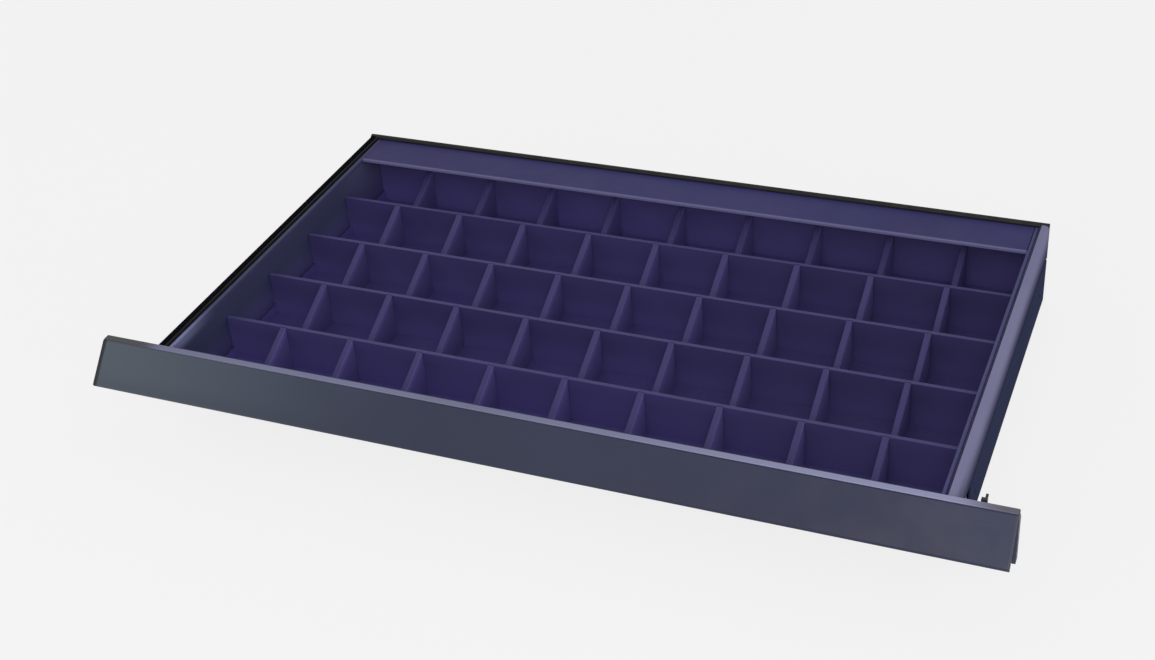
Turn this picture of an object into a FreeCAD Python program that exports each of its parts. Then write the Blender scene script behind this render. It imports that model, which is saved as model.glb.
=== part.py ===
import FreeCAD, Part
import math
import os

V = FreeCAD.Vector

# ---------------------------------------------------------------- driving dimensions (mm)
# Compartment grid
COL = 60.0                 # column pitch, left to right
ROW = 65.8                 # row pitch, rear to front
NCOL, NROW = 10, 5
L0_Y = 180.6               # centre line of the rearmost trough wall
TROUGH_TOP = 52.0          # top of the full-width trough walls
TROUGH_BOT = 12.3          # underside of the troughs, just above the floor sheet
TROUGH_HALF = 292.0        # half length of a trough
TROUGH_WALL = 4.0          # thickness of the full-width wall
TROUGH_LIP = 2.2           # thickness of the low front lip and the end walls
TROUGH_FLOOR = 2.2
TROUGH_GAP = 0.6           # gap between neighbouring troughs
DIV_T = 4.6                # thickness of a short divider
DIV_SLOT = 5.0             # width of the groove that holds it
DIV_GROOVE = 0.8           # depth of that groove
DIV_FRONT_TOP = 24.0       # height of a divider (and of the lip) at the front

# Drawer shell, folded sheet steel
T = 1.0                    # sheet thickness
X_OUT = 303.5              # outer face of the side skins
X_IN = 292.6               # inner face of the inner side walls
WALL_TOP = 73.3            # top of the outer skins
LIP_TOP = 70.5             # top of the hemmed inner walls and of the rear ledge
HEM_W = 3.4                # width of the hem on top of the inner side walls
SHOULDER = 5.6             # inward flange on top of the side skins
FLOOR_BOT = 11.0           # underside of the floor sheet
SKIN_BOT = 41.0            # underside of the side skins, just above the slides
Y_REAR = 193.1             # outer face of the rear skin
Y_REAR_IN = 182.8          # inner face of the rear inner wall
LEDGE_HEM = 3.0            # height of its turned-down front edge
LEDGE_FRONT = 151.9        # front edge of the ledge along the rear wall
Y_FRONT_IN = -147.4        # rear face of the inner front wall
Y_PLATE = -163.5           # rear face of the front plate

# Front
FRONT_HALF = 344.0
PLATE_T = 1.2
PLATE_BOT, PLATE_TOP = 32.0, 76.4
CAP_T = 0.8                # thickness of the light cover strip on top of the front
LEDGE_Y = -169.6           # front edge of the flat ledge on top of the handle
LIP_Y, LIP_Z = -193.1, 50.9  # foremost, lowest edge of the sloped handle face

# Telescopic slides
SLIDE_LEN = 300.0
SLIDE_H = 40.4
BALL_R = 1.7
CAGE_Y0, CAGE_Y1 = -11.3, 88.7
RAIL_Y1 = 186.0            # rear end of the two inner slide members

os.makedirs("parts", exist_ok=True)


# ---------------------------------------------------------------- helpers
def box(x0, x1, y0, y1, z0, z1):
    return Part.makeBox(x1 - x0, y1 - y0, z1 - z0, V(x0, y0, z0))


def prism_x(pts, x0, x1):
    """Polygon given as (y, z), extruded along X."""
    p = [V(x0, y, z) for y, z in pts]
    return Part.Face(Part.makePolygon(p + [p[0]])).extrude(V(x1 - x0, 0, 0))


def prism_y(pts, y0, y1):
    """Polygon given as (x, z), extruded along Y."""
    p = [V(x, y0, z) for x, z in pts]
    return Part.Face(Part.makePolygon(p + [p[0]])).extrude(V(0, y1 - y0, 0))


def cyl(p, d, r, h):
    return Part.makeCylinder(r, h, V(*p), V(*d))


def mirror(s):
    return s.mirror(V(0, 0, 0), V(1, 0, 0))


def fuse(first, *rest):
    s = first
    for r in rest:
        s = s.fuse(r)
    return s.removeSplitter()


def round_edges(shape, test, r):
    """Fillet the edges whose two end points satisfy the test."""
    es = [e for e in shape.Edges if len(e.Vertexes) == 2 and all(test(v.Point) for v in e.Vertexes)]
    return shape.makeFillet(r, es) if es else shape


def round_long(shape, pts, r):
    """Fillet the edges along Y that pass through the given (x, z) corners."""
    es = [e for e in shape.Edges if abs(e.Vertexes[0].Y - e.Vertexes[-1].Y) > 50
          and any(abs(e.Vertexes[0].X - x) < 1e-3 and abs(e.Vertexes[0].Z - z) < 1e-3 for x, z in pts)]
    return shape.makeFillet(r, es)


def sheet_profile(pts, t, rc):
    """Outline of a bent sheet: centre line points, thickness, centre-line bend radius.
    Returns edges in the plane (u, v)."""
    n = len(pts)
    seg = []
    for i in range(n - 1):
        du, dv = pts[i + 1][0] - pts[i][0], pts[i + 1][1] - pts[i][1]
        L = math.hypot(du, dv)
        seg.append((du / L, dv / L))
    left, right = [], []
    h = t / 2.0

    def off(p, d, s):
        return (p[0] - d[1] * s, p[1] + d[0] * s)

    left.append(("p", off(pts[0], seg[0], h)))
    right.append(("p", off(pts[0], seg[0], -h)))
    for i in range(1, n - 1):
        a, b = seg[i - 1], seg[i]
        turn = math.atan2(a[0] * b[1] - a[1] * b[0], a[0] * b[0] + a[1] * b[1])
        r = rc[i - 1] if isinstance(rc, (list, tuple)) else rc
        tl = r * math.tan(abs(turn) / 2.0)
        s0 = (pts[i][0] - a[0] * tl, pts[i][1] - a[1] * tl)
        s1 = (pts[i][0] + b[0] * tl, pts[i][1] + b[1] * tl)
        sg = 1.0 if turn > 0 else -1.0
        c = off(s0, a, sg * r)
        m = ((s0[0] + s1[0]) / 2 - c[0], (s0[1] + s1[1]) / 2 - c[1])
        ml = math.hypot(*m)
        for lst, side in ((left, 1.0), (right, -1.0)):
            rr = r - sg * side * h
            mid = (c[0] + m[0] / ml * rr, c[1] + m[1] / ml * rr)
            lst.append(("a", off(s0, a, side * h), mid, off(s1, b, side * h)))
    left.append(("p", off(pts[-1], seg[-1], h)))
    right.append(("p", off(pts[-1], seg[-1], -h)))

    def path(lst):
        out = []
        cur = lst[0][1]
        for it in lst[1:]:
            if it[0] == "p":
                out.append(("l", cur, it[1]))
                cur = it[1]
            else:
                out.append(("l", cur, it[1]))
                out.append(("a", it[1], it[2], it[3]))
                cur = it[3]
        return out

    lp, rp = path(left), path(right)
    rev = [(k[0],) + tuple(reversed(k[1:])) for k in reversed(rp)]
    return lp + [("l", left[-1][1], right[-1][1])] + rev + [("l", right[0][1], left[0][1])]


def sheet_x(pts, t, rc, x0, x1):
    """Bent sheet whose section is given as (y, z), extruded along X."""
    es = []
    for k in sheet_profile(pts, t, rc):
        q = [V(x0, a, b) for a, b in k[1:]]
        if k[0] == "l":
            if (q[0] - q[1]).Length > 1e-6:
                es.append(Part.LineSegment(q[0], q[1]).toShape())
        else:
            es.append(Part.Arc(q[0], q[1], q[2]).toShape())
    return Part.Face(Part.Wire(es)).extrude(V(x1 - x0, 0, 0))


def sheet_y(pts, t, rc, y0, y1):
    """Bent sheet whose section is given as (x, z), extruded along Y."""
    es = []
    for k in sheet_profile(pts, t, rc):
        q = [V(a, y0, b) for a, b in k[1:]]
        if k[0] == "l":
            if (q[0] - q[1]).Length > 1e-6:
                es.append(Part.LineSegment(q[0], q[1]).toShape())
        else:
            es.append(Part.Arc(q[0], q[1], q[2]).toShape())
    return Part.Face(Part.Wire(es)).extrude(V(0, y1 - y0, 0))


def save(name, shape):
    shape.exportStep("parts/%s.step" % name)
    bb = shape.BoundBox
    print("%-26s solids %2d vol %10.1f valid %s  x %.1f..%.1f y %.1f..%.1f z %.1f..%.1f" % (
        name, len(shape.Solids), shape.Volume, shape.isValid(),
        bb.XMin, bb.XMax, bb.YMin, bb.YMax, bb.ZMin, bb.ZMax))


def both(name, shape):
    """The shape is built on the right-hand side; its mirror image is the left one."""
    save("right_" + name, shape)
    save("left_" + name, mirror(shape))


# ---------------------------------------------------------------- troughs and short dividers
def line_y(k):
    return L0_Y - ROW * k


for k in range(NROW):
    yw = line_y(k)
    y_back = yw + TROUGH_WALL / 2
    y_wall = yw - TROUGH_WALL / 2                       # front face of the tall wall
    y_front = line_y(k + 1) + TROUGH_WALL / 2 + TROUGH_GAP
    y_lip = y_front + TROUGH_LIP                        # rear face of the low lip
    H = TROUGH_HALF
    section = [(y_back, TROUGH_BOT), (y_back, TROUGH_TOP), (y_wall, TROUGH_TOP),
               (y_wall, TROUGH_BOT + TROUGH_FLOOR), (y_lip, TROUGH_BOT + TROUGH_FLOOR),
               (y_lip, DIV_FRONT_TOP), (y_front, DIV_FRONT_TOP), (y_front, TROUGH_BOT)]
    body = prism_x(section, -H, H)
    end = [(y_wall, TROUGH_BOT), (y_wall, DIV_FRONT_TOP), (y_lip, DIV_FRONT_TOP), (y_lip, TROUGH_BOT)]
    body = fuse(body, prism_x(end, H - TROUGH_LIP, H), prism_x(end, -H, -H + TROUGH_LIP))
    # rounded rim of the tall wall and of the low lip
    body = round_edges(body, lambda p: abs(p.z - TROUGH_TOP) < 1e-4 and abs(p.y - y_back) < 1e-4, 1.0)
    body = round_edges(body, lambda p: abs(p.z - DIV_FRONT_TOP) < 1e-4 and abs(p.y - y_front) < 1e-4, 0.8)
    # grooves that hold the short dividers
    for i in range(1, NCOL):
        x = (i - NCOL / 2.0) * COL
        body = body.cut(box(x - DIV_SLOT / 2, x + DIV_SLOT / 2, y_wall - 0.01, y_wall + DIV_GROOVE,
                            TROUGH_BOT + TROUGH_FLOOR, TROUGH_TOP + 1))
        body = body.cut(box(x - DIV_SLOT / 2, x + DIV_SLOT / 2, y_lip - DIV_GROOVE, y_lip + 0.01,
                            TROUGH_BOT + TROUGH_FLOOR, DIV_FRONT_TOP + 1))
    save("trough_row_%d" % (k + 1), body)

    plates = []
    y_r = y_wall + DIV_GROOVE - 0.2
    y_f = y_lip - DIV_GROOVE + 0.2
    slope = (TROUGH_TOP - DIV_FRONT_TOP) / (y_wall - y_lip)
    z_r = TROUGH_TOP - 0.3
    prof = [(y_r, TROUGH_BOT + TROUGH_FLOOR + 0.2), (y_r, z_r), (y_wall - 1.2, z_r),
            (y_lip, DIV_FRONT_TOP + slope * 0.0), (y_f, DIV_FRONT_TOP), (y_f, TROUGH_BOT + TROUGH_FLOOR + 0.2)]
    for i in range(1, NCOL):
        x = (i - NCOL / 2.0) * COL
        p = prism_x(prof, x - DIV_T / 2, x + DIV_T / 2)
        es = []
        for e in p.Edges:
            a, b = e.Vertexes[0].Point, e.Vertexes[-1].Point
            if abs(a.x - b.x) < 1e-6 and min(a.z, b.z) > DIV_FRONT_TOP - 1e-3 and abs(a.y - b.y) > 20:
                es.append(e)
        p = p.makeFillet(0.9, es)
        plates.append(p)
    save("dividers_row_%d" % (k + 1), Part.makeCompound(plates))

# ---------------------------------------------------------------- drawer shell
# floor sheet with down-turned stiffening flanges along both sides
floor = box(-X_IN, X_IN, Y_FRONT_IN - T, Y_REAR_IN + T, FLOOR_BOT, FLOOR_BOT + T)
for s in (1, -1):
    x0, x1 = sorted((s * (X_IN - T), s * X_IN))
    floor = floor.fuse(box(x0, x1, -126.0, 176.0, 3.0, FLOOR_BOT))
save("drawer_floor", floor.removeSplitter())

# inner side wall: folded over into a box hem along the top, front lower corner cut back
xm = X_IN + T / 2
wall = sheet_y([(xm, FLOOR_BOT), (xm, LIP_TOP - T / 2), (X_IN + HEM_W - T / 2, LIP_TOP - T / 2), (X_IN + HEM_W - T / 2, LIP_TOP - 8.0)],
               T, [0.85, 0.85], Y_PLATE, Y_REAR - T)
wall = wall.cut(prism_x([(Y_PLATE - 1, 28.0 + 17.0 / 23.5), (Y_PLATE - 1, FLOOR_BOT - 1), (-140.0 + 23.5 / 17.0, FLOOR_BOT - 1)],
                        X_IN - 1, X_IN + T + 1))
wall = wall.cut(box(X_IN - 1, X_IN + 5, 188.8, Y_REAR, LIP_TOP - 9.0, LIP_TOP + 1))
SCREW_Y = (-75.0, 40.0, 150.0)                          # drawer member screws
for y in SCREW_Y:
    wall = wall.cut(cyl((X_IN - 1, y, 20.2), (1, 0, 0), 2.1, 4))
both("inner_wall", wall)

# outer side skin: a bottom flange above the slide, and a rounded inward shoulder on top,
# cut back at the rear for the corner of the rear trim
skin = sheet_y([(X_IN + T + 0.3, SKIN_BOT + T / 2), (X_OUT - T / 2, SKIN_BOT + T / 2), (X_OUT - T / 2, WALL_TOP - T / 2),
                (X_OUT - SHOULDER - 0.1, WALL_TOP - T / 2)], T, [4.0, 2.6], Y_PLATE, Y_REAR - T)
skin = skin.cut(box(X_OUT - 6.0, X_OUT + 1.0, 188.8, Y_REAR, WALL_TOP - 3.2, WALL_TOP + 1.0))
both("outer_skin", skin)

# rear: inner sheet, and an outer skin notched around the slides
rear_in = box(-X_IN, X_IN, Y_REAR_IN, Y_REAR_IN + T, FLOOR_BOT + T, LIP_TOP - T - 0.1)
save("rear_inner_wall", rear_in)
# ledge along the rear wall: rests on the rear inner wall, front edge turned down
yl = LEDGE_FRONT + T / 2
ledge = sheet_x([(yl, LIP_TOP - LEDGE_HEM), (yl, LIP_TOP - T / 2), (188.8, LIP_TOP - T / 2)],
                T, [1.1], -X_IN + 0.2, X_IN - 0.2)
save("rear_ledge", ledge)
REAR_TOP = WALL_TOP - 1.2                               # top of the rear skin, capped by the trim
pts = [(-X_OUT, REAR_TOP), (X_OUT, REAR_TOP), (X_OUT, SKIN_BOT), (X_IN + T, SKIN_BOT), (X_IN + T, FLOOR_BOT),
       (-X_IN - T, FLOOR_BOT), (-X_IN - T, SKIN_BOT), (-X_OUT, SKIN_BOT)]
save("rear_outer_skin", prism_y(pts, Y_REAR - T, Y_REAR))

# black edge trim that closes the gap on top of the double walls; the side trims lock under the shoulder
tx0, tx1 = X_IN + HEM_W + 0.3, X_OUT - SHOULDER - 0.3
trim = prism_y([(tx0, LIP_TOP - 7.0), (X_OUT - T - 0.4, LIP_TOP - 7.0), (X_OUT - T - 0.4, WALL_TOP - 5.0), (tx1, WALL_TOP - 2.2),
                (tx1, WALL_TOP - 0.4), (tx0, WALL_TOP - 1.3)], Y_PLATE + 0.4, 188.6)
es = [e for e in trim.Edges if min(e.Vertexes[0].Z, e.Vertexes[-1].Z) > WALL_TOP - 1.5 and abs(e.Vertexes[0].Y - e.Vertexes[-1].Y) > 100]
both("edge_trim", trim.makeFillet(0.4, es))
yt = Y_REAR - T - 0.3
trim = prism_x([(189.1, LIP_TOP - 7.0), (yt, LIP_TOP - 7.0), (yt, REAR_TOP + 0.2), (Y_REAR, REAR_TOP + 0.2), (Y_REAR, WALL_TOP),
                (190.6, WALL_TOP), (189.1, WALL_TOP - 1.5)], -X_OUT, X_OUT)
for s in (1, -1):                                       # ends stand on the side skins
    x0, x1 = sorted((s * (X_OUT - T - 0.3), s * (X_OUT + 1.0)))
    trim = trim.cut(box(x0, x1, 188.0, yt + 0.05, LIP_TOP - 8.0, WALL_TOP - 3.0))
es = [e for e in trim.Edges if min(e.Vertexes[0].Z, e.Vertexes[-1].Z) > WALL_TOP - 0.1 and abs(e.Vertexes[0].X - e.Vertexes[-1].X) > 100]
save("rear_edge_trim", trim.makeFillet(0.5, es))

# inner front wall with a top flange that reaches the front plate
fw = sheet_x([(Y_PLATE, 64.5), (Y_FRONT_IN - T / 2, 64.5), (Y_FRONT_IN - T / 2, FLOOR_BOT + T)], T, 1.2, -X_IN, X_IN)
save("inner_front_wall", fw)

# ---------------------------------------------------------------- front plate and sloped handle
plate = box(-FRONT_HALF, FRONT_HALF, Y_PLATE - PLATE_T, Y_PLATE, PLATE_BOT, PLATE_TOP)
returns = []
for s in (1, -1):                                       # strips that close the ends of the plate
    x0, x1 = sorted((s * (FRONT_HALF - PLATE_T), s * FRONT_HALF))
    returns.append(prism_x([(Y_PLATE, PLATE_BOT), (Y_PLATE + 5.0, PLATE_BOT), (Y_PLATE + 5.0, PLATE_TOP - 9.0),
                                 (Y_PLATE, PLATE_TOP - 2.5)], x0, x1))
save("front_end_returns", Part.makeCompound(returns))
RIVET_X = [-280.0, -190.0, -95.0, 0.0, 95.0, 190.0, 280.0]
RIVET_Z = 69.0
for x in RIVET_X:
    plate = plate.cut(cyl((x, Y_PLATE - PLATE_T - 1, RIVET_Z), (0, 1, 0), 2.0, 4))
BRK_X, BRK_Z = 283.0, (40.0, 53.0)
for s in (1, -1):
    for z in BRK_Z:
        plate = plate.cut(cyl((s * BRK_X, Y_PLATE - PLATE_T - 1, z), (0, 1, 0), 2.0, 4))
save("front_plate", plate)

HT = 1.2                                                # handle sheet
dy, dz = LIP_Y - LEDGE_Y, LIP_Z - PLATE_TOP
sl = math.hypot(dy, dz)
uy, uz = dy / sl, dz / sl                               # down the slope
ny, nz = -uz, uy                                        # inward normal of the sloped face, pointing up/back
if nz > 0:
    ny, nz = -ny, -nz                                   # turned so that it points below the face
# centre line of the sloped part lies half a sheet below the outer face
c0 = (LEDGE_Y + ny * HT / 2, PLATE_TOP + nz * HT / 2)
# corner of ledge centre line (z = top - HT/2) with the slope centre line
s_at = (PLATE_TOP - HT / 2 - c0[1]) / uz
corner = (c0[0] + uy * s_at, PLATE_TOP - HT / 2)
low = (LIP_Y + ny * HT / 2 + uy * 0.35, LIP_Z + nz * HT / 2 + uz * 0.35)
hemw = 2.6                                              # distance between the face and the turned-in hem
p3 = (low[0] + ny * hemw, low[1] + nz * hemw)
p4 = (p3[0] - uy * 7.0, p3[1] - uz * 7.0)
handle = sheet_x([(Y_PLATE - PLATE_T, PLATE_TOP - HT / 2), corner, low, p3, p4], HT, [0.9, 1.25, 1.25],
                 -FRONT_HALF, FRONT_HALF)
SEAM_Y = LEDGE_Y + 1.0                                  # weld seam between the ledge and the sloped face
save("handle_strip", handle.common(box(-FRONT_HALF - 1, FRONT_HALF + 1, LIP_Y - 5, SEAM_Y, 30.0, 90.0)))
# flat ledge between the sloped face and the plate, under the cover strip
save("handle_ledge_strip", box(-FRONT_HALF, FRONT_HALF, SEAM_Y, Y_PLATE - PLATE_T, PLATE_TOP - HT, PLATE_TOP))
# flat strip that carries the handle's ledge, riveted to the plate
mount = box(-FRONT_HALF, FRONT_HALF, Y_PLATE - PLATE_T - HT, Y_PLATE - PLATE_T, 57.5, PLATE_TOP - HT)
for x in RIVET_X:
    mount = mount.cut(cyl((x, Y_PLATE - PLATE_T - HT - 0.5, RIVET_Z), (0, 1, 0), 2.0, HT + 1))
save("handle_mount_strip", mount)
# light cover strip bonded on top of the handle's ledge
cap = box(-FRONT_HALF + 0.3, FRONT_HALF - 0.3, LEDGE_Y + 0.7, Y_PLATE - 0.1, PLATE_TOP, PLATE_TOP + CAP_T)
cap = round_edges(cap, lambda p: abs(p.z - PLATE_TOP - CAP_T) < 1e-4, 0.35)
save("front_cover_strip", cap)

rivets = []
for x in RIVET_X:
    y0 = Y_PLATE - PLATE_T - HT
    r = cyl((x, y0, RIVET_Z), (0, 1, 0), 2.0, PLATE_T + HT)
    h1 = cyl((x, y0 - 1.2, RIVET_Z), (0, 1, 0), 3.6, 1.2)
    h1 = h1.makeFillet(0.7, [e for e in h1.Edges if abs(e.BoundBox.YMax - (y0 - 1.2)) < 1e-3 and e.BoundBox.XLength > 5])
    h2 = cyl((x, Y_PLATE, RIVET_Z), (0, 1, 0), 3.0, 1.0)
    rivets.append(fuse(r, h1, h2))
save("handle_rivets", Part.makeCompound(rivets))

# angle brackets and screws that tie the front plate to the shell
bz0, bz1 = 33.0, 62.0
leg_plate = box(X_IN - 18.0, X_IN, Y_PLATE, Y_PLATE + 1.5, bz0, bz1)
leg_side = box(X_IN - 1.5, X_IN, Y_PLATE + 1.5, Y_FRONT_IN - T - 0.4, bz0, bz1)
brk = leg_plate.fuse(leg_side).removeSplitter()
for z in BRK_Z:
    brk = brk.cut(cyl((BRK_X, Y_PLATE - 1, z), (0, 1, 0), 2.0, 4))
both("front_bracket", brk)
screws = []
for s in (1, -1):
    for z in BRK_Z:
        sh = cyl((s * BRK_X, Y_PLATE - PLATE_T - 2.6, z), (0, 1, 0), 2.0, 2.6 + PLATE_T + 1.5)
        hd = cyl((s * BRK_X, Y_PLATE + 1.5, z), (0, 1, 0), 3.6, 2.2)
        hd = hd.cut(cyl((s * BRK_X, Y_PLATE + 1.5 + 1.2, z), (0, 1, 0), 1.4, 1.5))
        screws.append(fuse(sh, hd))
save("front_screws", Part.makeCompound(screws))

# ---------------------------------------------------------------- catch on the right of the front
PIV = (-154.0, 50.0)                                    # pivot (y, z)
CX = 320.8                                              # middle of the lever
base = box(CX - 9.0, CX + 11.0, Y_PLATE, Y_PLATE + 1.2, 37.0, 63.0)
ear = prism_x([(Y_PLATE + 1.2, 40.5), (-150.0, 44.5), (-148.0, 48.0), (-148.0, 52.0), (-150.0, 55.5), (Y_PLATE + 1.2, 59.5)],
              CX - 7.0, CX - 5.5)
brk = fuse(base, ear, ear.translated(V(15.0, 0, 0)))
brk = brk.cut(cyl((CX - 10, PIV[0], PIV[1]), (1, 0, 0), 2.0, 25))
save("catch_bracket", brk)
pin = fuse(cyl((CX - 7.0, PIV[0], PIV[1]), (1, 0, 0), 2.0, 16.5), cyl((CX - 8.3, PIV[0], PIV[1]), (1, 0, 0), 3.2, 1.3),
           cyl((CX + 9.5, PIV[0], PIV[1]), (1, 0, 0), 2.8, 0.8))
save("catch_pin", pin)
x0, x1 = CX - 2.0, CX + 2.0
hub = cyl((x0, PIV[0], PIV[1]), (1, 0, 0), 4.6, x1 - x0)
arm = prism_x([(-157.4, 51.0), (-161.6, 62.0), (-161.6, 77.4), (-160.4, 78.3), (-157.2, 79.0), (-156.8, 77.8), (-158.8, 77.0), (-158.2, 63.0),
               (-152.6, 53.6)], x0, x1)
tail = prism_x([(-153.0, 46.2), (-138.0, 46.2), (-136.4, 47.8), (-136.4, 53.6), (-138.6, 54.8), (-140.0, 53.2), (-140.0, 50.0), (-151.0, 52.6)], x0, x1)
arm = arm.cut(box(x0 - 1, CX + 0.4, -163.0, -155.0, 77.0, 82.0))   # thumb tab narrower than the arm
lever = fuse(hub, arm, tail).cut(cyl((x0 - 1, PIV[0], PIV[1]), (1, 0, 0), 2.06, 10))
save("catch_lever", lever)
# torsion spring on the pin beside the lever, with two straight legs
hx = Part.makeHelix(1.1, 3.3, 3.3)
prof = Part.Wire(Part.makeCircle(0.4, V(3.3, 0, 0), V(0, 1, 0)))
coil = Part.Wire(hx).makePipeShell([prof], True, True)
coil = coil.rotated(V(0, 0, 0), V(0, 1, 0), 90).translated(V(CX + 3.4, PIV[0], PIV[1]))
leg1 = cyl((CX + 3.4, PIV[0], PIV[1] - 3.3), (0, 1, 0), 0.4, 9.0)
leg2 = cyl((CX + 6.7, PIV[0] - 8.2, PIV[1] - 3.3), (0, 1, 0), 0.4, 8.2)
save("catch_spring", fuse(coil, leg1, leg2))

# ---------------------------------------------------------------- telescopic slides (right side built, left mirrored)
ys0, ys1 = Y_REAR - SLIDE_LEN, Y_REAR
zc = SLIDE_H / 2
# outer member, fixed to the cabinet
o = [(303.5, 0), (303.5, SLIDE_H), (294.4, SLIDE_H), (294.4, SLIDE_H - 2.4), (295.4, SLIDE_H - 2.4), (295.4, SLIDE_H - 1.2),
     (302.3, SLIDE_H - 1.2), (302.3, 1.2), (295.4, 1.2), (295.4, 2.4), (294.4, 2.4), (294.4, 0)]
rail = prism_y(o, ys0, ys1)
rail = round_long(rail, [(303.5, 0), (303.5, SLIDE_H)], 1.8)
rail = round_long(rail, [(302.3, 1.2), (302.3, SLIDE_H - 1.2)], 0.6)
rail = round_long(rail, [(294.4, 0), (294.4, SLIDE_H)], 0.8)
MOUNT_Y = (-86.9, 169.1)                                # screw holes, 256 mm apart
for y in MOUNT_Y:
    rail = rail.cut(cyl((301, y, zc), (1, 0, 0), 2.25, 5))
both("cabinet_rail", rail)
# rubber bumpers at the rear end of the outer members
bumper = box(294.6, 302.3, 187.2, Y_REAR, 9.0, SLIDE_H - 9.0)
bumper = bumper.makeFillet(1.5, [e for e in bumper.Edges if abs(e.Vertexes[0].Y - 187.2) < 1e-4 and abs(e.Vertexes[-1].Y - 187.2) < 1e-4])
save("rail_bumpers", Part.makeCompound([bumper, mirror(bumper)]))
# middle member
m = [(301.0, 5.2), (301.0, SLIDE_H - 5.2), (294.9, SLIDE_H - 5.2), (294.9, SLIDE_H - 6.2), (300.0, SLIDE_H - 6.2), (300.0, 6.2),
     (294.9, 6.2), (294.9, 5.2)]
mid = prism_y(m, ys0, RAIL_Y1)
mid = round_long(mid, [(301.0, 5.2), (301.0, SLIDE_H - 5.2)], 1.4)
mid = round_long(mid, [(300.0, 6.2), (300.0, SLIDE_H - 6.2)], 0.4)
for y in MOUNT_Y:                                        # access holes in line with the mounting screws
    mid = mid.cut(cyl((299, y, zc), (1, 0, 0), 5.0, 3))
both("middle_rail", mid)
# inner member, fixed to the drawer wall
d = [(X_IN + T, 10.2), (X_IN + T, SLIDE_H - 10.2), (298.6, SLIDE_H - 10.2), (298.6, SLIDE_H - 11.2), (294.7, SLIDE_H - 11.2), (294.7, 11.2),
     (298.6, 11.2), (298.6, 10.2)]
dr = prism_y(d, ys0, RAIL_Y1)
dr = round_long(dr, [(X_IN + T, 10.2), (X_IN + T, SLIDE_H - 10.2)], 1.0)
for y in SCREW_Y:
    dr = dr.cut(cyl((X_IN, y, 20.2), (1, 0, 0), 2.1, 4))
both("drawer_rail", dr)
screws = []
for y in SCREW_Y:
    sh = cyl((X_IN + 0.1, y, 20.2), (1, 0, 0), 2.0, 2.0)
    hd = cyl((294.7, y, 20.2), (1, 0, 0), 3.8, 1.9)
    hd = hd.makeFillet(0.9, [e for e in hd.Edges if abs(e.BoundBox.XMin - 296.6) < 1e-3])
    hd = hd.cut(cyl((295.7, y, 20.2), (1, 0, 0), 1.3, 2))
    sc = fuse(sh, hd)
    screws += [sc, mirror(sc)]
save("rail_screws", Part.makeCompound(screws))


def cage(x_web0, x_web1, x_in, x_ball, z_row):
    """Sheet cage of U section with a row of ball pockets above and below."""
    u = [(x_web1, z_row - 0.3), (x_web1, SLIDE_H - z_row + 0.3), (x_in, SLIDE_H - z_row + 0.3), (x_in, SLIDE_H - z_row - 0.3),
         (x_web0, SLIDE_H - z_row - 0.3), (x_web0, z_row + 0.3), (x_in, z_row + 0.3), (x_in, z_row - 0.3)]
    c = prism_y(u, CAGE_Y0, CAGE_Y1)
    balls = []
    n = 6
    for j in range(n):
        y = CAGE_Y0 + 10.0 + j * (CAGE_Y1 - CAGE_Y0 - 20.0) / (n - 1)
        for z in (z_row, SLIDE_H - z_row):
            c = c.cut(cyl((x_ball, y, z - 2), (0, 0, 1), BALL_R + 0.06, 4))
            balls.append(Part.makeSphere(BALL_R, V(x_ball, y, z)))
    return c, balls


c1, b1 = cage(301.35, 301.95, 295.8, 298.4, 3.2)
both("outer_ball_cage", c1)
save("outer_balls", Part.makeCompound(b1 + [mirror(b) for b in b1]))
c2, b2 = cage(299.05, 299.65, 295.2, 297.0, 8.2)
both("inner_ball_cage", c2)
save("inner_balls", Part.makeCompound(b2 + [mirror(b) for b in b2]))
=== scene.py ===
import math
import bpy
from mathutils import Matrix, Vector

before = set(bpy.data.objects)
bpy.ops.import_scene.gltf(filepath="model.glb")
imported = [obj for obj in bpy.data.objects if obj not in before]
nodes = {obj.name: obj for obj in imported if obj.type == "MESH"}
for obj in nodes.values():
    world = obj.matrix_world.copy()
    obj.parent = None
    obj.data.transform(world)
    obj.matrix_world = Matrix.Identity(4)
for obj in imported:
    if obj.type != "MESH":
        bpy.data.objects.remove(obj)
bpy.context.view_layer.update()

scene = bpy.context.scene
scene.view_settings.view_transform = "Standard"
scene.view_settings.look = "None"

# ------------------------------------------------------------------ camera
IMG_W, IMG_H = 1155, 660
FOCAL_PX = 1716.24
cam_data = bpy.data.cameras.new("camera")
cam_data.sensor_fit = "HORIZONTAL"
cam_data.sensor_width = 36.0
cam_data.lens = FOCAL_PX / IMG_W * 36.0
cam_data.clip_start = 0.01
cam_data.clip_end = 50.0
cam = bpy.data.objects.new("camera", cam_data)
scene.collection.objects.link(cam)
right = Vector((0.924141, 0.375621, -0.069797))
down = Vector((0.157168, -0.540292, -0.826670))
ahead = Vector((-0.348226, 0.752989, -0.558342))
m = Matrix.Identity(4)
for i in range(3):
    m[i][0], m[i][1], m[i][2] = right[i], -down[i], -ahead[i]
m[0][3], m[1][3], m[2][3] = 0.443742, -1.014238, 0.787240
cam.matrix_world = m
scene.camera = cam

# ------------------------------------------------------------------ stage and light
bpy.ops.mesh.primitive_plane_add(size=16.0, location=(0, 0, -0.0004))
floor = bpy.context.object
floor.name = "floor"
bpy.ops.mesh.primitive_cylinder_add(vertices=128, radius=7.9, depth=3.0, end_fill_type="NOTHING", location=(0, 0, 1.499))
backdrop = bpy.context.object
backdrop.name = "backdrop"

world = bpy.data.worlds.new("studio")
world.use_nodes = True
bg = world.node_tree.nodes["Background"]
bg.inputs["Color"].default_value = (1.0, 1.0, 1.0, 1)
bg.inputs["Strength"].default_value = 0.62
scene.world = world


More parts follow.
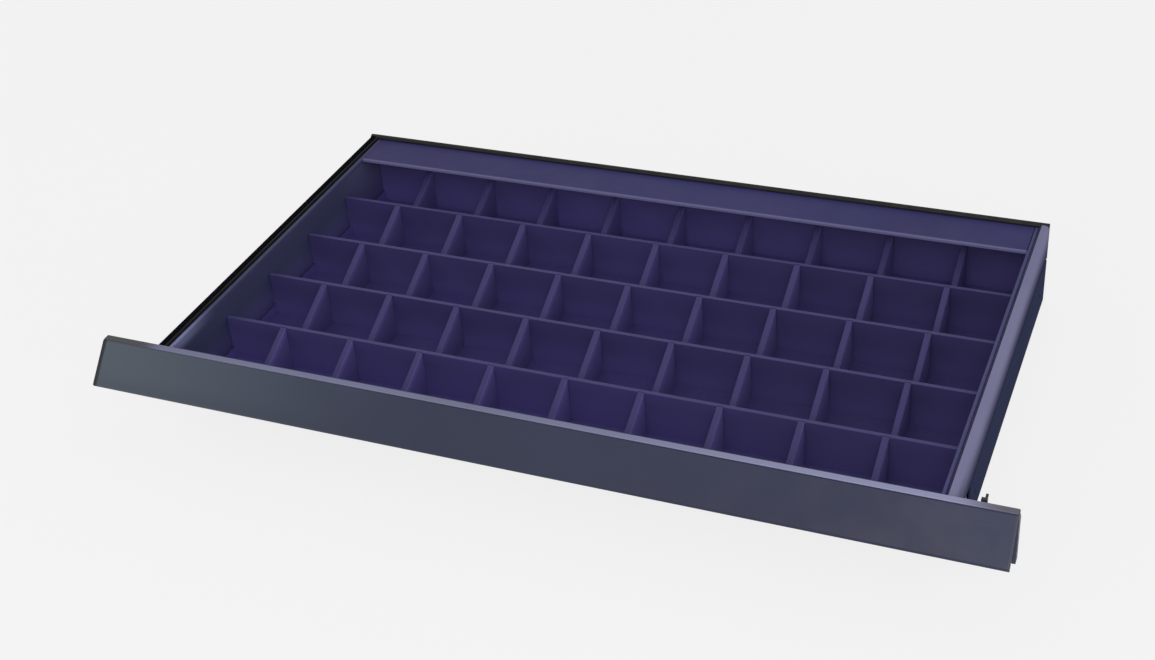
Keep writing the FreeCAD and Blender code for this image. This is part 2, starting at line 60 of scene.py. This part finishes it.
def area(name, loc, target, size, power, color=(1, 1, 1)):
    d = bpy.data.lights.new(name, "AREA")
    d.shape = "RECTANGLE"
    d.size, d.size_y = size
    d.energy = power
    d.color = color
    o = bpy.data.objects.new(name, d)
    scene.collection.objects.link(o)
    o.location = loc
    o.rotation_euler = (Vector(target) - Vector(loc)).to_track_quat("-Z", "Y").to_euler()
    return o


area("front_fill", (0.35, -1.55, 1.35), (0, 0, 0.03), (1.4, 1.0), 16.0)
area("left_end", (-0.95, -0.75, 0.42), (-0.33, -0.18, 0.06), (0.5, 0.5), 0.7, (1.0, 1.0, 0.94))
area("right_end", (0.80, -0.95, 0.40), (0.34, -0.18, 0.06), (0.4, 0.4), 0.5)


# ------------------------------------------------------------------ material tools
def srgb(r, g, b):
    def f(c):
        c /= 255.0
        return c / 12.92 if c <= 0.04045 else ((c + 0.055) / 1.055) ** 2.4
    return (f(r), f(g), f(b), 1.0)


class Mat:
    """A node material around one Principled shader, textured in the piece's own coordinates."""

    def __init__(self, name):
        self.m = bpy.data.materials.new(name)
        self.m.use_nodes = True
        self.t = self.m.node_tree
        self.p = self.t.nodes["Principled BSDF"]
        self.co = self.t.nodes.new("ShaderNodeTexCoord").outputs["Object"]

    def node(self, kind, **kw):
        n = self.t.nodes.new(kind)
        for k, v in kw.items():
            setattr(n, k, v)
        return n

    def link(self, a, b):
        self.t.links.new(a, b)

    def noise(self, scale, detail=2.0, rough=0.5, stretch=None, dist=0.0):
        n = self.node("ShaderNodeTexNoise")
        n.inputs["Scale"].default_value = scale
        n.inputs["Detail"].default_value = detail
        n.inputs["Roughness"].default_value = rough
        n.inputs["Distortion"].default_value = dist
        if stretch:
            mp = self.node("ShaderNodeMapping")
            mp.inputs["Scale"].default_value = stretch
            self.link(self.co, mp.inputs["Vector"])
            self.link(mp.outputs["Vector"], n.inputs["Vector"])
        else:
            self.link(self.co, n.inputs["Vector"])
        return n.outputs["Fac"]

    def ramp(self, fac, lo, hi, a=0.0, b=1.0):
        r = self.node("ShaderNodeMapRange", interpolation_type="SMOOTHSTEP")
        r.inputs["From Min"].default_value = lo
        r.inputs["From Max"].default_value = hi
        r.inputs["To Min"].default_value = a
        r.inputs["To Max"].default_value = b
        self.link(fac, r.inputs["Value"])
        return r.outputs["Result"]

    def math(self, op, a, b=None):
        n = self.node("ShaderNodeMath", operation=op)
        for i, v in enumerate((a, b)):
            if v is None:
                continue
            if isinstance(v, (int, float)):
                n.inputs[i].default_value = v
            else:
                self.link(v, n.inputs[i])
        return n.outputs["Value"]

    def mix(self, fac, a, b, blend="MIX"):
        n = self.node("ShaderNodeMix", data_type="RGBA", blend_type=blend)
        self.link(fac, n.inputs[0]) if not isinstance(fac, (int, float)) else setattr(n.inputs[0], "default_value", fac)
        for sock, v in ((n.inputs[6], a), (n.inputs[7], b)):
            if isinstance(v, tuple):
                sock.default_value = v
            else:
                self.link(v, sock)
        return n.outputs[2]

    def xyz(self):
        s = self.node("ShaderNodeSeparateXYZ")
        self.link(self.co, s.inputs["Vector"])
        return s.outputs

    def normal(self, axis):
        g = self.node("ShaderNodeNewGeometry")
        s = self.node("ShaderNodeSeparateXYZ")
        self.link(g.outputs["Normal"], s.inputs["Vector"])
        return s.outputs[axis]

    def normal_z(self):
        return self.normal("Z")

    def bump(self, height, strength, distance, under=None):
        b = self.node("ShaderNodeBump")
        b.inputs["Strength"].default_value = strength
        b.inputs["Distance"].default_value = distance
        self.link(height, b.inputs["Height"])
        if under is not None:
            self.link(under, b.inputs["Normal"])
        return b.outputs["Normal"]

    def set(self, color=None, rough=None, normal=None, **const):
        for name, v in (("Base Color", color), ("Roughness", rough), ("Normal", normal)):
            if v is None:
                continue
            if isinstance(v, (int, float)) or isinstance(v, tuple):
                self.p.inputs[name].default_value = v
            else:
                self.link(v, self.p.inputs[name])
        for k, v in const.items():
            self.p.inputs[k].default_value = v
        return self.m


def scale(c, k):
    return (c[0] * k, c[1] * k, c[2] * k, 1.0)


def paint(name, base, rough=0.48, peel=700.0, depth=0.00006, blot=0.07, spec=0.22, worn=None, marks=()):
    """Powder coat: fine orange peel, soft blotches of tone, dust and fine handling scratches.
    marks are (mask, colour, amount): places painted paler or darker, most of them with painted light and shade."""
    k = Mat(name)
    col = k.mix(k.ramp(k.noise(7.0, 3.0), 0.3, 0.7), scale(base, 1.0 - blot), scale(base, 1.0 + blot))
    # marks paint tone onto the coat, most of them painted light and shade
    for mask, tint, amount in marks:
        col = k.mix(k.math("MULTIPLY", mask(k), amount), col, tint)
    speck = k.ramp(k.noise(1500.0, 1.0), 0.60, 0.78)
    col = k.mix(k.math("MULTIPLY", speck, 0.10), col, scale(base, 1.8))
    scr = k.ramp(k.noise(60.0, 2.0, 0.6, stretch=(0.25, 9.0, 9.0), dist=0.4), 0.70, 0.76)
    gate = k.ramp(k.noise(9.0, 1.0), 0.52, 0.66)
    scr = k.math("MULTIPLY", scr, gate)
    col = k.mix(k.math("MULTIPLY", scr, 0.22), col, worn or scale(base, 2.0))
    rg = k.ramp(k.noise(24.0, 4.0, 0.6), 0.25, 0.75, rough - 0.07, rough + 0.08)
    rg = k.math("ADD", rg, k.math("MULTIPLY", scr, -0.10))
    n1 = k.bump(k.noise(peel, 1.5, 0.4), 0.55, depth)
    n2 = k.bump(k.noise(16.0, 1.0), 0.10, 0.0004, n1)
    return k.set(color=col, rough=rg, normal=n2, **{"Specular IOR Level": spec})


def moulded(name, base, top, z_rim, rough=0.46, gain=1.0, high=0.85, edge=None):
    """Moulded plastic: fine spark texture, a rim in its own colour, darker than the painted-pale walls below it, with a
    rubbed variation, settled dust low down in the compartments.
    gain lifts a whole row's colour, painted light for the rows lying in shade; high sets how much deeper the colour is
    at the top of its walls than halfway;
    it pales downward, painted light where shade falls deep in the compartments, and the end compartments and the left
    half are a touch paler, painted light too.
    edge is (y, z, slope) of the sloping top of a row's dividers: their sides are paler, most of all below it and toward
    the right, painted light lifting their shade.
    A trough has no such edge: there the inner faces of its low end walls are paler, painted light as on the dividers'
    sides, and their rims duller."""
    k = Mat(name)
    x, z = k.xyz()["X"], k.xyz()["Z"]
    low = k.ramp(z, 0.010, 0.044, 1.0, 0.0)
    base = scale(base, gain)
    patch = k.ramp(k.noise(11.0, 3.0), 0.3, 0.7)
    col = k.mix(patch, scale(base, 0.93 * high), scale(base, 1.07 * high))
    # painted light: low down the walls and floors are painted paler, the walls most, where shade falls deep in the
    # compartments
    side = k.math("SUBTRACT", 1.0, k.ramp(k.normal_z(), 0.35, 0.80))
    deep = k.mix(side, scale(base, 1.20), scale(base, 1.48))
    col = k.mix(low, col, deep)
    if edge:
        # painted light: the dividers' sides are paler, most of all below their sloping top and toward the right,
        # lifting the shade between them
        line = k.math("ADD", k.math("MULTIPLY", k.math("SUBTRACT", k.xyz()["Y"], edge[0]), edge[2]), edge[1])
        under = k.ramp(k.math("SUBTRACT", line, z), 0.0005, 0.0090)
        grey = (base[0] * 1.05, base[1] * 1.06, base[2] * 0.93, 1.0)
        to_right = k.ramp(x, -0.15, 0.22)
        pale = k.mix(to_right, k.mix(under, scale(grey, 2.6), scale(grey, 1.85)),
                     k.mix(under, scale(grey, 3.1), scale(grey, 2.6)))
        pale = k.mix(k.math("MULTIPLY", patch, 0.10), pale, base)
        col = k.mix(k.ramp(k.math("ABSOLUTE", k.normal("X")), 0.50, 0.90), col, pale)
    else:
        # painted light: the inner faces of the low end walls are paler; the rims of those end walls are set darker
        out = k.math("ABSOLUTE", x)
        inside = k.math("MULTIPLY", k.ramp(k.math("ABSOLUTE", k.normal("X")), 0.50, 0.90), k.ramp(out, 0.2904, 0.2914, 1.0, 0.0))
        col = k.mix(inside, col, scale(base, 2.1))
        end_rim = k.math("MULTIPLY", k.math("SUBTRACT", 1.0, side), k.ramp(out, 0.2890, 0.2899))
        col = k.mix(k.math("MULTIPLY", end_rim, k.ramp(z, 0.0225, 0.0238)), col, scale(base, 0.62))
    # painted light and shade across the row: the inner compartments deeper than the end ones, the right half deeper and
    # greyer than the left
    inner = k.math("MULTIPLY", k.ramp(x, -0.285, -0.235), k.ramp(x, 0.235, 0.285, 1.0, 0.0))
    col = k.mix(inner, col, (0.88, 0.88, 0.88, 1.0), "MULTIPLY")
    col = k.mix(k.ramp(x, 0.0, 0.20), col, (0.92, 0.93, 0.86, 1.0), "MULTIPLY")
    up = k.ramp(k.normal_z(), 0.35, 0.80)
    dust = k.math("MULTIPLY", k.math("MULTIPLY", up, low), k.ramp(k.noise(240.0, 4.0, 0.7), 0.45, 0.75))
    col = k.mix(k.math("MULTIPLY", dust, 0.12), col, scale(base, 2.2))
    rim = k.math("MULTIPLY", up, k.ramp(z, z_rim, z_rim + 0.003))
    rub = k.math("MULTIPLY", rim, k.ramp(k.noise(90.0, 3.0, 0.65), 0.25, 0.70, 0.82, 1.0))
    col = k.mix(rub, col, top)
    scuff = k.ramp(k.noise(70.0, 2.0, 0.6, stretch=(5.0, 0.6, 5.0), dist=0.6), 0.70, 0.78)
    col = k.mix(k.math("MULTIPLY", scuff, 0.16), col, scale(base, 1.7))
    rg = k.ramp(k.noise(40.0, 4.0, 0.6), 0.25, 0.75, rough - 0.06, rough + 0.08)
    n1 = k.bump(k.noise(1600.0, 1.0), 0.5, 0.00004)
    n2 = k.bump(k.noise(22.0, 1.0), 0.12, 0.0003, n1)
    return k.set(color=col, rough=rg, normal=n2, **{"Specular IOR Level": 0.18})


def metal(name, base, rough=0.3, grain=(1.0, 0.02, 1.0), metallic=1.0, stain=0.12):
    """Zinc plated or drawn steel with a fine rolling grain and a slightly cloudy passivation."""
    k = Mat(name)
    col = k.mix(k.ramp(k.noise(45.0, 4.0, 0.6), 0.3, 0.7), scale(base, 1.0 - stain), scale(base, 1.0 + stain * 0.6))
    g = k.noise(900.0, 2.0, 0.5, stretch=grain)
    rg = k.ramp(g, 0.3, 0.7, rough - 0.06, rough + 0.10)
    n1 = k.bump(g, 0.25, 0.00003)
    return k.set(color=col, rough=rg, normal=n1, Metallic=metallic)


def rubber(name, base):
    k = Mat(name)
    col = k.mix(k.ramp(k.noise(60.0, 4.0, 0.6), 0.3, 0.75), scale(base, 0.8), scale(base, 1.6))
    rg = k.ramp(k.noise(80.0, 3.0), 0.3, 0.7, 0.52, 0.70)
    n1 = k.bump(k.noise(1200.0, 1.0), 0.5, 0.00005)
    return k.set(color=col, rough=rg, normal=n1, **{"Specular IOR Level": 0.35})


# ------------------------------------------------------------------ finishes
M = {}
# each row gets its own copy of the plastic: rows 1 and 5 are painted paler (gain), and row 1 keeps more colour at the
# top of its walls (high), painted light where those rows lie in shade under the rear ledge and next to the front
for row, gain in ((1, 1.16), (2, 0.97), (3, 0.97), (4, 0.97), (5, 1.25)):
    M["trough_%d" % row] = moulded("violet_trough_plastic_%d" % row, srgb(66, 60, 111), srgb(67, 63, 110), 0.046, gain=gain,
                                   high=0.97 if row == 1 else 0.85)
    M["divider_%d" % row] = moulded("violet_divider_plastic_%d" % row, srgb(66, 60, 111), srgb(63, 59, 104), 0.020, gain=gain,
                                    edge=(0.1854 - 0.0658 * row, 0.024, 0.479))


def facing_up(k):
    return k.ramp(k.normal_z(), 0.80, 0.97)


def ledge_edge(k):
    return k.math("SUBTRACT", 1.0, k.ramp(k.xyz()["Y"], 0.1524, 0.1536))


def toward_left(k):
    return k.ramp(k.xyz()["X"], -0.37, -0.06, 1.0, 0.0)


def right_half(k):
    return k.ramp(k.xyz()["X"], -0.02, 0.16)


def right_tip(k):
    return k.ramp(k.xyz()["X"], 0.285, 0.325)


def low_front(k):
    return k.ramp(k.xyz()["Z"], 0.0500, 0.0620, 1.0, 0.0)


def toward_right(k):
    return k.ramp(k.xyz()["X"], -0.02, 0.30)


def wall_face(k):
    return k.ramp(k.xyz()["Z"], 0.0630, 0.0700, 1.0, 0.0)


def low_wall(k):
    return k.ramp(k.xyz()["Z"], 0.0270, 0.0500, 1.0, 0.0)


def rear_of_wall(k):
    c = k.xyz()
    return k.math("MULTIPLY", k.ramp(c["Y"], 0.095, 0.165), k.ramp(c["Z"], 0.0640, 0.0690, 1.0, 0.0))


def pale_front_top_corner(k):
    c = k.xyz()
    return k.math("MULTIPLY", k.ramp(c["Y"], -0.150, -0.090, 1.0, 0.0), k.ramp(c["Z"], 0.0590, 0.0670))


def low_side(k):
    return k.ramp(k.xyz()["Z"], 0.0420, 0.0720, 1.0, 0.0)


def top_rim(k):
    return k.ramp(k.xyz()["Z"], 0.0690, 0.0702)


def left_edge(k):
    return k.ramp(k.xyz()["X"], -0.3418, -0.3400, 1.0, 0.0)


def right_edge(k):
    return k.ramp(k.xyz()["X"], 0.3420, 0.3432)


def past_left_wall(k):
    return k.ramp(k.xyz()["X"], -0.3120, -0.2900, 1.0, 0.0)


def past_right_wall(k):
    return k.ramp(k.xyz()["X"], 0.3000, 0.3360)


# the shell coat is paler on faces that point up: painted light on its tops
M["shell"] = paint("violet_powder_coat", srgb(46, 45, 82), marks=[(facing_up, srgb(54, 54, 86), 0.6)])
# the left wall is painted with light and shade: its face below the lip is a touch darker than the lip, and it is paler
# toward the rear under the ledge and low down, painted light where shade falls; its front top corner is paler
M["wall_left"] = paint("violet_wall_coat_left", srgb(66, 66, 98),
                       marks=[(wall_face, srgb(60, 64, 95), 1.0), (rear_of_wall, srgb(84, 84, 124), 1.0), (low_wall, srgb(84, 81, 132), 0.9),
                              (pale_front_top_corner, srgb(120, 124, 163), 1.0)])
# the right wall's face below its lip is darker than the lip: painted shade
M["wall_right"] = paint("violet_wall_coat_right", srgb(66, 65, 110), marks=[(wall_face, srgb(58, 58, 94), 1.0)])
# the front edge of the rear ledge is painted pale: a painted highlight along its bent edge
M["ledge"] = paint("violet_ledge_coat", srgb(46, 44, 95), marks=[(ledge_edge, srgb(100, 98, 136), 0.9)])
# the outer skins fade from lavender at the top to dark navy low down: painted shade below the lit shoulder; the left
# skin also has a black band along its top, painted shade
M["skin"] = paint("lavender_powder_coat", srgb(120, 119, 150), spec=0.0, marks=[(low_side, srgb(46, 50, 74), 1.0)])
M["skin_left"] = paint("lavender_powder_coat_painted_shade_rim", srgb(120, 119, 150), spec=0.0,
                       marks=[(low_side, srgb(46, 50, 74), 1.0), (top_rim, srgb(14, 14, 18), 1.0)])
# the front is painted with light and shade along its length: paler and greener toward the left end where the light
# falls, deeper over the right half, and a dark line of painted shade at the very left end; it is also a little darker
# toward the bottom, and paler at the very right end
M["front"] = paint("anthracite_powder_coat", srgb(45, 49, 69), rough=0.42, peel=620.0,
                   marks=[(toward_left, srgb(76, 85, 94), 0.85), (right_half, srgb(39, 42, 66), 1.0),
                          (right_tip, srgb(45, 49, 72), 1.0), (low_front, srgb(44, 47, 62), 0.25), (left_edge, srgb(30, 33, 36), 0.9), (right_edge, srgb(58, 61, 77), 0.8)])
# the cover strip is painted brighter toward the right: painted light; past the side walls it takes duller tones like
# the front's own top edge
M["cover"] = paint("lavender_cover_strip", srgb(112, 113, 141),
                   marks=[(toward_right, srgb(144, 145, 177), 0.9), (past_left_wall, srgb(72, 70, 74), 1.0),
                          (past_right_wall, srgb(96, 94, 106), 1.0)])
# the edge trim is black on the left and at the rear but dark violet on the right: lit and shaded copies of one trim,
# the black being painted shade
M["trim"] = rubber("black_edge_trim_painted_shade", srgb(14, 14, 18))
M["trim_right"] = rubber("dark_violet_edge_trim", srgb(27, 26, 62))
M["slide_dark"] = paint("dark_slide_coat", srgb(51, 55, 79), rough=0.55, spec=0.0)
M["zinc"] = metal("zinc_steel", srgb(176, 178, 182))
M["cage"] = metal("cage_steel", srgb(150, 150, 154), rough=0.36)
M["ball"] = metal("ball_steel", srgb(208, 208, 210), rough=0.12, stain=0.04)
M["fastener"] = metal("fastener_zinc", srgb(188, 186, 178), rough=0.32)
M["catch"] = paint("catch_dark_coat", srgb(50, 50, 57), rough=0.40)
M["spring"] = metal("spring_wire", srgb(140, 140, 144), rough=0.28)
M["bumper"] = rubber("bumper_rubber", srgb(22, 22, 24))


def give(mat, *names):
    for n in names:
        o = nodes[n]
        o.data.materials.clear()
        o.data.materials.append(M[mat])


for r in range(1, 6):
    give("trough_%d" % r, "trough_row_%d" % r)
    give("divider_%d" % r, "dividers_row_%d" % r)
give("wall_left", "left_inner_wall")
give("wall_right", "right_inner_wall")
give("shell", "drawer_floor", "rear_inner_wall", "rear_outer_skin", "inner_front_wall",
     "left_front_bracket", "right_front_bracket")
give("ledge", "rear_ledge")
give("skin", "right_outer_skin")
give("skin_left", "left_outer_skin")
give("trim", "left_edge_trim", "rear_edge_trim")
give("trim_right", "right_edge_trim")
give("front", "front_plate", "front_end_returns", "handle_strip", "handle_ledge_strip", "handle_mount_strip")
give("cover", "front_cover_strip")
give("fastener", "handle_rivets", "front_screws", "rail_screws", "catch_pin")
give("catch", "catch_bracket", "catch_lever")
give("spring", "catch_spring")
give("slide_dark", "left_cabinet_rail", "right_cabinet_rail")
give("zinc", "left_middle_rail", "right_middle_rail", "left_drawer_rail", "right_drawer_rail")
give("cage", "left_outer_ball_cage", "right_outer_ball_cage", "left_inner_ball_cage", "right_inner_ball_cage")
give("ball", "outer_balls", "inner_balls")
give("bumper", "rail_bumpers")

# pale floor
k = Mat("pale_floor")
fcol = k.mix(k.ramp(k.noise(0.8, 2.0), 0.3, 0.7), (0.068, 0.068, 0.068, 1), (0.074, 0.074, 0.074, 1))
floor.data.materials.append(k.set(color=fcol, rough=0.9, **{"Specular IOR Level": 0.1, "Emission Color": (1, 1, 1, 1),
                                                           "Emission Strength": 0.824}))
k = Mat("pale_backdrop")
bcol = k.mix(k.ramp(k.noise(0.8, 2.0), 0.3, 0.7), (0.045, 0.045, 0.045, 1), (0.055, 0.055, 0.055, 1))
backdrop.data.materials.append(k.set(color=bcol, rough=0.9, **{"Specular IOR Level": 0.0, "Emission Color": (1, 1, 1, 1),
                                                              "Emission Strength": 0.842}))
